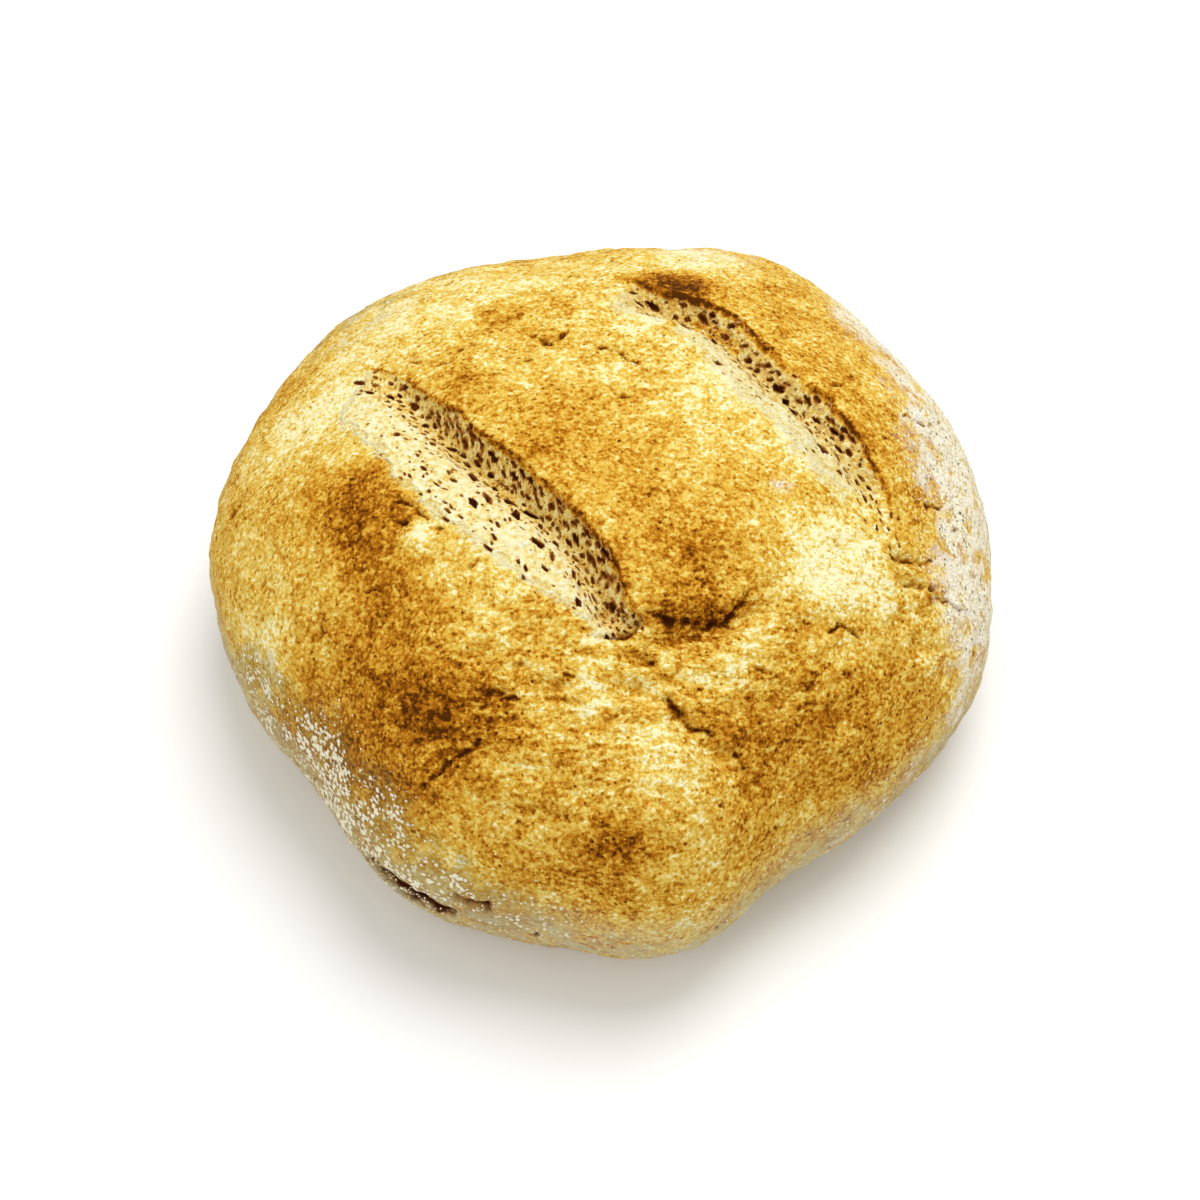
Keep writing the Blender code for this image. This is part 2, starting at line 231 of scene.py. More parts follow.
def smooth(value):
    value = np.clip(value, 0.0, 1.0)
    return value * value * (3.0 - 2.0 * value)


def fadeEnds(share, fade):
    return smooth(share / fade[0]) * smooth((1.0 - share) / fade[1])


def onTop(points):
    return smooth((points[:, 2] / dough["height"] - dough["topFrom"]) / dough["topRun"])


def lumps(points, layers):
    # layers of smooth noise, each with a wavelength and a height in mm
    return sum(
        height * mm * np.array([noise.noise(Vector(point) / (wave * mm)) for point in points])
        for wave, height in layers
    )


def smoothCurve(values, place, ends):
    # smooth curve through even values; ends is wrap for a closed curve and clip for an open one
    first = np.floor(place).astype(int)
    t = place - first
    before, here, after, last = (np.take(values, first + step, mode=ends) for step in (-1, 0, 1, 2))
    return here + 0.5 * (
        (after - before) * t
        + (2 * before - 5 * here + 4 * after - last) * t**2
        + (3 * here - before - 3 * after + last) * t**3
    )


def makeArc(line):
    # line near a circular arc in plan; its outer side is on the left from start to end if bow > 0
    start, end = np.array(line["start"]) * mm, np.array(line["end"]) * mm
    bow = line["bow"] * mm
    chord = np.linalg.norm(end - start)
    along = (end - start) / chord
    outward = np.array([-along[1], along[0]]) * math.copysign(1.0, bow)
    radius = (chord**2 / 4 + bow**2) / (2 * abs(bow))
    return {
        "along": along, "outward": outward, "radius": radius,
        "centre": (start + end) / 2 + outward * (abs(bow) - radius),
        "halfAngle": math.asin(chord / 2 / radius),
        "sway": np.array(line.get("sway", (0.0, 0.0))) * mm,
    }


def arcPlace(arc, points):
    # share of the line's length, and distance to its outer side
    offset = points[:, :2] - arc["centre"]
    share = 0.5 + np.arctan2(offset @ arc["along"], offset @ arc["outward"]) / (2 * arc["halfAngle"])
    place = np.clip(share, 0, 1) * (len(arc["sway"]) - 1)
    return share, np.linalg.norm(offset, axis=1) - arc["radius"] - smoothCurve(arc["sway"], place, "clip")


def arcOutward(arc, points):
    offset = points[:, :2] - arc["centre"]
    offset = offset / np.linalg.norm(offset, axis=1)[:, None]
    return np.column_stack([offset, np.zeros(len(points))])


def outlineRadius(azimuth):
    curve = smoothCurve(np.array(dough["outline"]), azimuth / (2 * math.pi) * len(dough["outline"]), "wrap")
    offNose = (np.degrees(azimuth) - dough["noseAzimuth"] + 180) % 360 - 180
    return curve + dough["noseReach"] * np.exp(-0.5 * (offNose / dough["noseSpread"]) ** 2)


def domePoints(directions):
    # a unit ball moved out to a bulging side, a full dome and a flat base
    azimuth = np.arctan2(directions[:, 1], directions[:, 0])
    angle = np.arccos(np.clip(directions[:, 2], -1, 1))
    ballAngles = (0, math.pi / 2, dough["baseAngle"], math.pi)
    angle = np.interp(angle, ballAngles, (0, math.pi / 2, dough["undersideAngle"], math.pi))
    out, up = np.sin(angle), np.cos(angle)
    upper = up >= 0
    radius = outlineRadius(azimuth) * np.where(upper, out ** (2 / dough["shoulder"]), out)
    dome = (dough["height"] - dough["widestHeight"]) * np.abs(up) ** (2 / dough["crown"])
    z = dough["widestHeight"] + np.where(upper, dome, -2 * dough["widestHeight"] * np.abs(up))
    nearFloor = np.clip(1 - np.abs(z) / dough["baseRounding"], 0, None)
    z = np.maximum(z, 0) + nearFloor**2 * dough["baseRounding"] / 4
    return np.column_stack([radius * np.cos(azimuth), radius * np.sin(azimuth), z])


def swellHeight(points):
    height = np.zeros(len(points))
    for x, y, radius, reach in dough["swells"]:
        away = np.hypot(points[:, 0] - x * mm, points[:, 1] - y * mm) / (radius * mm)
        height += reach * mm * np.exp(-0.5 * away**2)
    return height * smooth(points[:, 2] / dough["widestHeight"])


def foldDepth(points):
    total = np.zeros(len(points))
    for start, end, bow, width, depth in dough["folds"]:
        share, across = arcPlace(makeArc({"start": start, "end": end, "bow": bow}), points)
        strength = fadeEnds(share, (0.3, 0.3)) * onTop(points)
        total += depth * mm * strength * np.exp(-((2 * across / (width * mm)) ** 2))
    return total


def splitDepth(points):
    low, high = dough["splitAzimuth"]
    share = (np.degrees(np.arctan2(points[:, 1], points[:, 0])) % 360 - low) / (high - low)
    zFrom, zTo = dough["splitHeight"]
    above = points[:, 2] - (zFrom + (zTo - zFrom) * share)
    groove = np.exp(-((2 * above / dough["splitWidth"]) ** 2))
    return dough["splitDepth"] * fadeEnds(share, (0.3, 0.3)) * groove


def crumbWidth(score, share):
    narrowed = score["narrowed"]
    return score["width"] * mm * (narrowed + (1 - narrowed) * fadeEnds(share, tear["narrowing"]))


def floorMask(points, score):
    # 1 on the crumb in front of the torn wall
    share, across = arcPlace(makeArc(score), points)
    inner = across / crumbWidth(score, share)
    fromLine, fromBorder = tear["lumpsIn"]
    inside = smooth(-fromLine * inner) * smooth(fromBorder * (1 + inner))
    return inside * fadeEnds(share, score["fade"]) * onTop(points)


def tornMask(points, score):
    # 1 on all that shows crumb: the floor and the wall up to the lip
    share, across = arcPlace(makeArc(score), points)
    ragged = lumps(points, tear["ragged"])
    edge = tear["lipRun"] - tear["edgeInset"] + tear["edgeRagged"] * ragged - across
    edge = smooth(edge / tear["edgeRun"])
    nearStart = smooth((tear["widenedShare"] - share) / tear["widenedShare"])
    width = crumbWidth(score, share) * (1 + tear["widened"] * nearStart)
    border = smooth((width + across + tear["borderRagged"] * ragged) / tear["border"])
    return score["crumbShow"] * edge * border * fadeEnds(share, score["crumbFade"]) * onTop(points)


def wallMask(points, score):
    # 1 on the steep torn wall, falling to 0 some way into the crumb
    share, across = arcPlace(makeArc(score), points)
    start = smooth((across + tear["wallFrom"]) / tear["wallRun"])
    return start * smooth((tear["lipRun"] + tear["wallPast"] - across) / tear["wallPast"]) * onTop(points)


def lipLine(points, score):
    # 1 on the thin dark line just under the lip's edge: partly scorched crust, partly painted shade under the
    # overhang
    share, across = arcPlace(makeArc(score), points)
    wander = lumps(points, tear["lipWander"])
    offEdge = (across - tear["lipRun"] + tear["lipLineInset"] + wander) / tear["lipLine"]
    uneven = np.clip(0.85 + lumps(points + 0.3, tear["lipUneven"]) / mm, 0.25, 1)
    return uneven * np.exp(-(offEdge**2)) * fadeEnds(share, score["crumbFade"]) * onTop(points)


def tearOpen(points, normals, score):
    arc = makeArc(score)
    share, across = arcPlace(arc, points)
    depth, lift, foot = (score[name] * mm for name in ("depth", "lift", "foot"))
    lipRun = tear["lipRun"]
    overhang = score["overhang"] * mm + lumps(points, tear["edgeStray"])
    inner = np.clip(1 + across / crumbWidth(score, share), 0, 1)
    wall = smooth(across / lipRun)
    back = np.clip((across - lipRun) / tear["lipBlend"], 0, 1)

    zones = [across < 0, across < lipRun]
    edgeSlide = -(overhang + lipRun)
    footSlide = -foot * smooth(1 + across / tear["footRun"])
    wallSlide = -foot * (1 - wall) + edgeSlide * wall
    slide = np.select(zones, [footSlide, wallSlide], edgeSlide * (1 - back) ** 2)
    wallRise = (depth + lift) * wall - depth
    rise = np.select(zones, [-depth * inner ** tear["fall"], wallRise], lift * (1 - smooth(back)))

    sideways = arcOutward(arc, points)
    sideways -= normals * np.sum(sideways * normals, axis=1)[:, None]
    strength = fadeEnds(share, score["fade"]) * onTop(points)
    return (strength * slide)[:, None] * sideways + (strength * rise)[:, None] * normals


def getPoints(mesh):
    values = np.empty(len(mesh.vertices) * 3, np.float32)
    mesh.vertices.foreach_get("co", values)
    return values.reshape(-1, 3).astype(float)


def setPoints(mesh, points):
    mesh.vertices.foreach_set("co", points.astype(np.float32).ravel())
    mesh.update()


def getNormals(mesh):
    values = np.empty(len(mesh.vertices) * 3, np.float32)
    mesh.vertex_normals.foreach_get("vector", values)
    return values.reshape(-1, 3).astype(float)


def readValues(mesh, name):
    values = np.empty(len(mesh.vertices), np.float32)
    mesh.attributes[name].data.foreach_get("value", values)
    return values.astype(float)


def writeValues(mesh, name, values):
    attribute = mesh.attributes.get(name) or mesh.attributes.new(name, "FLOAT", "POINT")
    attribute.data.foreach_set("value", values.astype(np.float32))


def splitFaces(mesh, wanted, cuts):
    # splits the faces that wanted picks from their middles, normals and areas
    shape = bmesh.new()
    shape.from_mesh(mesh)
    middles = np.array([face.calc_center_median() for face in shape.faces])
    normals = np.array([face.normal for face in shape.faces])
    areas = np.array([face.calc_area() for face in shape.faces])
    chosen = [face for face, fine in zip(shape.faces, wanted(middles, normals, areas)) if fine]
    edges = {edge for face in chosen for edge in face.edges}
    bmesh.ops.subdivide_edges(shape, edges=list(edges), cuts=cuts, use_grid_fill=True)
    bmesh.ops.triangulate(shape, faces=[face for face in shape.faces if len(face.verts) > 3])
    shape.to_mesh(mesh)
    shape.free()


def nearOpenings(middles, normals, areas):
    points = domePoints(middles / np.linalg.norm(middles, axis=1)[:, None])
    margin = surface["openingMargin"] * mm
    slack = 0.01  # share of a score's length past its ends
    found = np.zeros(len(points), bool)
    for score in scores.values():
        share, across = arcPlace(makeArc(score), points)
        inside = (across > -crumbWidth(score, share) - margin) & (across < tear["lipRun"] + margin)
        found |= inside & (share > -slack) & (share < 1 + slack)
    return found & (points[:, 2] > surface["openingFrom"] * dough["height"])


def pathDistance(points, normals, path):
    # distance over the surface, so that height above or below the path hardly counts
    reach = surface["pathReach"] * mm
    nearest = np.full(len(points), np.inf)
    for start, end in zip(path[:-1], path[1:]):
        start, end = np.array(start) * mm, np.array(end) * mm
        line = end - start
        t = np.clip((points - start) @ line / (line @ line), 0, 1)
        offset = points - (start + t[:, None] * line)
        offset -= normals * np.clip(np.sum(offset * normals, axis=1), -reach, reach)[:, None]
        nearest = np.minimum(nearest, np.linalg.norm(offset, axis=1))
    return nearest


def nearPath(points, path, reach):
    # numbers of the points in a box around a path
    low = np.min(path, axis=0) * mm - reach
    high = np.max(path, axis=0) * mm + reach
    return np.flatnonzero(np.all((points > low) & (points < high), axis=1))


def warped(points):
    # points moved a little by noise, so that straight paths come out crooked
    shifts = [lumps(points + shift, surface["warp"]) for shift in (0.0, 0.4, 0.8)]
    return points + np.column_stack(shifts)


def scatterCracks(mesh):
    # short stray cracks and pits all round, away from the scores
    rng = random.Random(strayCracks["seed"])
    points, normals = getPoints(mesh), getNormals(mesh)
    clear = (points[:, 2] > strayCracks["lowest"] * mm) & (readValues(mesh, "crumb") < 0.01)
    places = np.flatnonzero(clear)
    found = []
    for _ in range(strayCracks["count"]):
        place = places[rng.randrange(len(places))]
        point, normal = Vector(points[place]), Vector(normals[place])
        side = normal.orthogonal().normalized()
        side.rotate(Matrix.Rotation(rng.uniform(0, math.tau), 3, normal))
        low, high = strayCracks["length"]
        length = (low + (high - low) * rng.random() ** 2) * mm
        path = [tuple((point + side * t * length) / mm) for t in (-0.5, 0, 0.5)]
        found.append((path, rng.uniform(*strayCracks["width"]), rng.uniform(*strayCracks["depth"])))
    return found


def crackShape(points, normals, allCracks):
    # depth and darkness of all cracks at each point: the darkness is partly painted shade in the groove
    depth, dark = np.zeros(len(points)), np.zeros(len(points))
    for path, width, deep in allCracks:
        close = nearPath(points, path, (3 * width + surface["pathReach"]) * mm)
        if len(close) == 0:
            continue
        spots = warped(points[close])
        swing = crackForm["uneven"] / max(1, deep) ** 2 * lumps(spots, crackForm["unevenWaves"]) / mm
        uneven = np.clip(crackForm["strength"] + swing, 0, crackForm["strongest"])
        away = pathDistance(spots, normals[close], path) / (width * mm)
        groove = deep * mm * uneven * np.exp(-((crackForm["groove"] * away) ** 2))
        shade = np.clip(crackForm["shadeForDepth"] * uneven * deep, 0, 1)
        depth[close] = np.maximum(depth[close], groove)
        dark[close] = np.maximum(dark[close], shade * np.exp(-((crackForm["dark"] * away) ** 2)))
    return depth, dark


def ridgeShape(points, normals):
    # height and extra browning of the raised skin
    height, brown = np.zeros(len(points)), np.zeros(len(points))
    for path, width, high, tint in ridges:
        close = nearPath(points, path, (2 * width + surface["pathReach"]) * mm)
        away = pathDistance(warped(points[close]), normals[close], path) / (width * mm)
        bump = np.exp(-((1.6 * away) ** 2))
        height[close] += high * mm * bump
        brown[close] += tint * bump
    return height, brown


def wrinkleAmount(points):
    amount = np.zeros(len(points))
    for x, y, radius, strength in surface["wrinkled"]:
        away = np.hypot(points[:, 0] - x * mm, points[:, 1] - y * mm) / (radius * mm)
        amount += strength * np.exp(-(away**2))
    return amount * smooth((points[:, 2] / mm - surface["wrinkleFrom"]) / surface["wrinkleRun"])


def wrinkleHeight(points, amount):
    # ridged folds of skin, long from side to side
    drawn = points * surface["wrinkleDrawn"] + 0.1
    folds = 1 - np.abs(lumps(drawn, ((surface["wrinkleWave"], 2.0),)) / mm) * surface["wrinkleFold"]
    return surface["wrinkleHeight"] * mm * amount * (folds - 0.5)


# Holes of the torn crumb. Radii and places in mm.
holes = {
    "seed": 11,
    "count": {"long": 215, "short": 125},
    "radius": {"floor": (0.4, 0.9), "wall": (0.55, 1.45)},
    "scale": {"long": 1.0, "short": 0.72},
    "reach": 1.4 * mm,  # depth at which the painted shade inside a hole is at its darkest
    "stretch": (1.1, 2.3),
    "gap": 1.1,  # free space between holes, as a share of their radii
    "sink": (-0.25, 0.3),  # share of the radius that a hole's middle lies under the surface
    "level": 2.5,  # reach over which a hole takes the surface's slope
    "uneven": 0.55,
    "unevenNoise": 1.5,
    "narrow": 0.72,  # width across the score, against the length along it
    "fineFrom": 1.2 * mm,  # larger holes get smaller faces
    "turn": 0.4,  # most that a hole turns from the score's line, in radians
    "apart": 20 * mm,  # holes further away than this aren't compared
    "leastCrumb": 0.3,
    "band": 32 * mm,  # a score's holes lie within this of its line
    "onFloor": 0.06,  # chance of a hole on the floor, against the wall
    "atStart": 0.25,  # chance of a hole near a score's start, against its middle
    "smaller": 1.8,  # above 1, most holes are small
    "tries": 40,
    # large holes that show from a step away: x, y, radius, stretch
    "large": (
        (-35, -8, 1.5, 1.5), (-31, -9, 1.7, 1.6), (-35, -18, 1.5, 1.3), (-31, -17, 1.3, 1.7),
        (-25, -17, 1.5, 1.5), (-23, -22, 1.7, 1.3), (-21, -25.5, 2.2, 1.4), (-18, -13, 1.2, 1.3),
        (-24, -11, 1.3, 1.4), (-17, -32, 1.3, 1.8), (-53, 20, 1.4, 1.2), (-60, 25, 1.2, 1.6),
        (-57, 8, 1.1, 1.1), (-49, 13, 1.2, 1.1), (-47, 5, 1.1, 1.0), (-6, -43, 1.0, 1.1),
        (-6, -50, 1.2, 1.3), (15, 58.5, 1.4, 2.0), (24, 48.5, 1.7, 1.7), (33, 31, 1.3, 1.2),
        (42, 36, 1.1, 1.2), (36, 46, 1.1, 2.0), (50, 25, 1.5, 1.3), (52, 22, 1.4, 1.3),
        (54, 18, 1.4, 1.5), (62, 5, 1.6, 1.4), (71, -4, 1.1, 1.2), (74, -11, 1.2, 1.3),
        (73, -17, 1.1, 1.1), (66, -3, 1.0, 1.1), (30, 53, 1.2, 2.2), (3, -49, 1.4, 1.3),
    ),
}


def holeShape(middle, turn, radius, stretch, rng):
    # an uneven bubble, longer along the score
    along, across, normal = turn
    shape = bmesh.new()
    bmesh.ops.create_icosphere(shape, subdivisions=3 if radius > holes["fineFrom"] else 2, radius=1.0)
    seed = Vector((rng.uniform(0, 90), rng.uniform(0, 90), rng.uniform(0, 90)))
    for vertex in shape.verts:
        bulge = noise.noise(vertex.co * holes["unevenNoise"] + seed)
        spot = vertex.co * radius * (1 + holes["uneven"] * bulge)
        vertex.co = middle + along * spot.x * stretch + across * spot.y * holes["narrow"] + normal * spot.z
    mesh = bpy.data.meshes.new("bubble")
    shape.to_mesh(mesh)
    shape.free()
    return mesh


def pointTree(points):
    tree = KDTree(len(points))
    for index, point in enumerate(points):
        tree.insert(point, index)
    tree.balance()
    return tree


def bubbleCutter(mesh):
    # all holes of both scores as one cutter
    rng = random.Random(holes["seed"])
    points, normals = getPoints(mesh), getNormals(mesh)
    crumb, wall = readValues(mesh, "crumb"), readValues(mesh, "wall")
    arcs = {name: makeArc(score) for name, score in scores.items()}
    whole = bmesh.new()
    placed = []
    tree = pointTree(points)

    def addHole(index, arc, radius, stretch):
        point = Vector(points[index])
        around = [item[1] for item in tree.find_range(point, holes["level"] * mm)]
        normal = Vector(normals[around].mean(axis=0)).normalized()
        outward = Vector(arcOutward(arc, points[index:index + 1])[0])
        along = normal.cross(outward).normalized()
        along.rotate(Matrix.Rotation(rng.uniform(-holes["turn"], holes["turn"]), 3, normal))
        across = normal.cross(along)
        for other, otherRadius, otherStretch in placed:
            away = other - point
            if abs(away.x) + abs(away.y) > holes["apart"]:
                continue
            reach = (radius + otherRadius) * holes["gap"]
            reachAlong = (radius * stretch + otherRadius * otherStretch) * holes["gap"]
            share = (away.dot(along) / reachAlong) ** 2
            share += (away.dot(across) / reach) ** 2 + (away.dot(normal) / reach) ** 2
            if share < 1:
                return False
        middle = point - normal * radius * rng.uniform(*holes["sink"])
        bubble = holeShape(middle, (along, across, normal), radius, stretch, rng)
        whole.from_mesh(bubble)
        bpy.data.meshes.remove(bubble)
        placed.append((point, radius, stretch))
        return True

    inCrumb = np.flatnonzero(crumb > holes["leastCrumb"])
    for x, y, radius, stretch in holes["large"]:
        away = np.hypot(points[inCrumb, 0] - x * mm, points[inCrumb, 1] - y * mm)
        index = int(inCrumb[np.argmin(away)])
        nearest = min(arcs.values(), key=lambda arc: abs(arcPlace(arc, points[index:index + 1])[1][0]))
        addHole(index, nearest, radius * mm, stretch)
    for name, count in holes["count"].items():
        share, across = arcPlace(arcs[name], points)
        mine = np.clip(1.6 * crumb, 0, 1) * (np.abs(across) < holes["band"]) * (share > 0) * (share < 1)
        onWall = holes["onFloor"] + (1 - holes["onFloor"]) * wall
        weight = mine * onWall * (holes["atStart"] + (1 - holes["atStart"]) * smooth((share - 0.1) / 0.3))
        places = np.flatnonzero(weight > 0.02)
        made = 0
        for _ in range(count * holes["tries"]):
            index = int(places[rng.randrange(len(places))])
            low, high = holes["radius"]["wall" if wall[index] > 0.5 else "floor"]
            radius = (low + (high - low) * rng.random() ** holes["smaller"]) * holes["scale"][name] * mm
            if rng.random() < weight[index]:
                made += addHole(index, arcs[name], radius, rng.uniform(*holes["stretch"]))
            if made == count:
                break
    cutter = bpy.data.meshes.new("bubbles")
    whole.to_mesh(cutter)
    whole.free()
    cutter.update()
    print("crumb holes:", len(placed))
    return cutter


def cutHoles(loaf):
    # cuts the bubbles out; returns the nearest old point of each new one, and its distance
    before = getPoints(loaf.data)
    cutter = bpy.data.objects.new("bubbles", bubbleCutter(loaf.data))
    bpy.context.scene.collection.objects.link(cutter)
    cut = loaf.modifiers.new("crumb holes", "BOOLEAN")
    cut.operation = "DIFFERENCE"
    cut.solver = "MANIFOLD"
    cut.object = cutter
    evaluated = loaf.evaluated_get(bpy.context.evaluated_depsgraph_get())
    mesh = bpy.data.meshes.new_from_object(evaluated)
    loaf.modifiers.clear()
    bpy.data.objects.remove(cutter)
    mesh.materials.clear()
    loaf.data = mesh
    tree = pointTree(before)
    found = [tree.find(point) for point in getPoints(mesh)]
    return np.array([item[1] for item in found]), np.array([item[2] for item in found])


# Browning in patches over the crust, partly real browning and partly painted shade where the front and lower
# sides face away from the light: x, y, z and radius in mm, then more (+) or less (-) baked
browningAndShade = {
    "base": 0.36,
    "underneath": 0.16,  # added where the loaf stood on the hot oven floor
    "patches": (
        (-67, -18, 89, 18, 0.40), (-85, 4, 82, 13, 0.08), (-88, -26, 77, 14, -0.10),
        (-103, -4, 66, 12, -0.10), (-95, -44, 57, 12, -0.24), (-40, -73, 82, 10, 0.20),
        (-59, -69, 74, 24, 0.30), (-74, -70, 57, 14, 0.20), (-42, -86, 72, 18, 0.24),
        (5, -110, 65, 14, 0.36), (-18, -99, 70, 13, -0.10), (-11, -71, 88, 10, -0.08),
        (26, -42, 97, 13, 0.26), (-17, 0, 103, 9, 0.18), (2, -8, 102, 10, 0.12), (-37, 20, 99, 8, 0.18),
        (-30, 48, 95, 6, 0.16), (78, 9, 89, 13, 0.16), (78, 64, 73, 12, 0.10),
        (25, 65, 91, 9, 0.60), (17, 68, 90, 6, 0.35), (48, 68, 86, 13, 0.08), (19, -56, 90, 6, 0.30),
        (30, -53, 89, 5, 0.30), (66, -64, 73, 18, 0.16), (57, -80, 62, 14, 0.02),
        (76, -76, 50, 14, 0.22), (20, -20, 102, 12, 0.08), (-1, 22, 103, 12, -0.10), (39, 19, 98, 10, -0.14),
        (87, -58, 58, 10, 0.14), (42, -76, 76, 9, 0.16), (39, -92, 65, 12, 0.22),
        (-54, -45, 87, 12, 0.08), (-26, -75, 84, 12, 0.14),
        (10, -87, 81, 13, -0.18), (24, -90, 78, 9, -0.14), (64, -33, 88, 14, -0.52), (48, -26, 97, 10, -0.10),
        (50, 11, 95, 10, -0.16), (30, 85, 82, 14, -0.40), (10, 80, 84, 12, -0.20),
        (2, -68, 88, 8, -0.10), (-12, 75, 87, 13, -0.14), (-45, 69, 85, 20, -0.24),
        (-66, 61, 81, 20, -0.20), (-78, 25, 82, 14, -0.26), (-93, 21, 74, 12, -0.14),
        (78, -49, 74, 12, -0.12), (38, -4, 100, 12, -0.10), (13, -22, 102, 12, -0.04),
        (-78, 27, 82, 12, -0.10), (-70, 8, 88, 10, -0.14), (-47, -14, 96, 10, -0.16),
        (-28, -36, 96, 10, -0.14), (12, 44, 97, 10, -0.16), (26, 22, 99, 10, -0.14),
    ),
    "noise": ((34, 0.12), (13, 0.12), (5.5, 0.10)),
}

# Flour left on the sides: heights in mm between which it thins out, and heavy patches
flour = {
    "full": 26,
    "gone": 60,
    "amount": 0.30,
    "dustFull": 24,
    "dustGone": 50,
    "dustUnder": 0.5,
    "noise": ((16, 0.6), (6, 0.9), (2.5, 0.7)),
    "dustNoise": ((9, 0.5),),
    # amounts from which, and over which, flour turns to a thick coat or shows browner crust
    "coat": (0.3, 0.6),
    "ground": (0.1, 0.5),
    "sideRun": 30,  # distance from the middle at which a side is all coat or all flakes
    # x, y, z, radius in mm, and amount
    "patches": (
        (102, 14, 68, 19, 0.95), (97, 42, 67, 18, 0.9), (84, 70, 64, 17, 0.8), (103, -14, 62, 15, 0.7),
        (102, -32, 60, 13, 0.5), (32, 92, 80, 18, 0.5), (-74, -70, 55, 11, 0.5), (-66, -86, 50, 12, 0.7),
        (-57, -92, 54, 9, 0.6), (-84, -65, 46, 12, 0.5), (-96, -49, 50, 12, 0.4), (-42, -106, 46, 11, 0.5),
        (-20, -114, 36, 14, 0.25), (-70, 80, 60, 26, 0.4), (-20, 108, 52, 30, 0.4), (60, 100, 48, 22, 0.4),
        (104, -50, 40, 18, 0.4), (116, 8, 48, 18, 0.7), (108, 44, 48, 18, 0.7), (94, 72, 46, 16, 0.6),
        (113, -24, 46, 14, 0.6), (-105, 30, 50, 20, 0.2), (49, -13, 98, 3.2, 0.7), (-84, 75, 50, 24, 0.4),
        (-80, -80, 38, 12, 0.5), (-92, -62, 38, 12, 0.5), (-68, -94, 36, 12, 0.5), (-102, -44, 40, 12, 0.4),
        (-52, -104, 34, 10, 0.4),
    ),
}


def spotSum(points, patches):
    total = np.zeros(len(points))
    for x, y, z, radius, amount in patches:
        away = np.linalg.norm(points - np.array((x, y, z)) * mm, axis=1) / (radius * mm)
        total += amount * np.exp(-0.9 * away**2)
    return total


def browningAndShadeOf(points):
    brown = browningAndShade["base"] + spotSum(points, browningAndShade["patches"])
    brown += sum(size * lumps(points + 0.2, ((wave, 1.0),)) / mm for wave, size in browningAndShade["noise"])
    return np.clip(brown, 0, 1)


def flourOf(points):
    low = smooth((flour["gone"] - points[:, 2] / mm) / (flour["gone"] - flour["full"]))
    amount = flour["amount"] * low + spotSum(points, flour["patches"])
    amount *= 1 + lumps(points + 0.5, flour["noise"]) / mm
    return np.clip(amount, 0, 1)


def dustOf(points, normals):
    # thin grey haze of flour low on the sides, and less of it underneath
    low = smooth((flour["dustGone"] - points[:, 2] / mm) / (flour["dustGone"] - flour["dustFull"]))
    low *= np.where(normals[:, 2] < -0.7, flour["dustUnder"], 1)
    amount = 1.1 * low + 0.1 * spotSum(points, flour["patches"])
    return np.clip(amount * (1 + lumps(points + 0.6, flour["dustNoise"]) / mm), 0, 1)


def makeLoaf():
    bpy.ops.mesh.primitive_ico_sphere_add(subdivisions=surface["ballSubdivisions"], radius=1.0)
    loaf = bpy.context.object
    loaf.name = loaf.data.name = "bakedLoaf"
    splitFaces(loaf.data, nearOpenings, surface["openingCuts"])
    directions = getPoints(loaf.data)
    setPoints(loaf.data, domePoints(directions / np.linalg.norm(directions, axis=1)[:, None]))

    points, normals = getPoints(loaf.data), getNormals(loaf.data)
    height = swellHeight(points) + lumps(points, dough["lumps"]) * smooth(points[:, 2] / dough["lumpStart"])
    height += sum(floorMask(points, score) for score in scores.values()) * lumps(points, tear["lumps"])
    height -= splitDepth(points) + foldDepth(points)
    moved = points + height[:, None] * normals
    moved += sum(tearOpen(points, normals, score) for score in scores.values())
    moved[:, 2] = np.where(points[:, 2] == 0, 0, np.maximum(moved[:, 2], 0))
    moved[:, :2] -= (moved.min(axis=0) + moved.max(axis=0))[:2] / 2
    moved *= surface["inset"]

    masks = {"crumb": tornMask, "wall": wallMask, "singe": lipLine}
    for name, mask in masks.items():
        writeValues(loaf.data, name, np.maximum(*(mask(points, score) for score in scores.values())))
    strands = np.zeros(len(points))
    for score in scores.values():
        arc = makeArc(score)
        share, across = arcPlace(arc, moved)
        along = share * 2 * arc["halfAngle"] * arc["radius"] / tear["strandStretch"]
        drawn = np.column_stack([along, across, moved[:, 2]])
        strands += tornMask(points, score) / score["crumbShow"] * lumps(drawn, tear["strands"])
    writeValues(loaf.data, "relief", strands)
    setPoints(loaf.data, moved)
    print("dough shaped:", len(loaf.data.polygons), "faces")
    return loaf


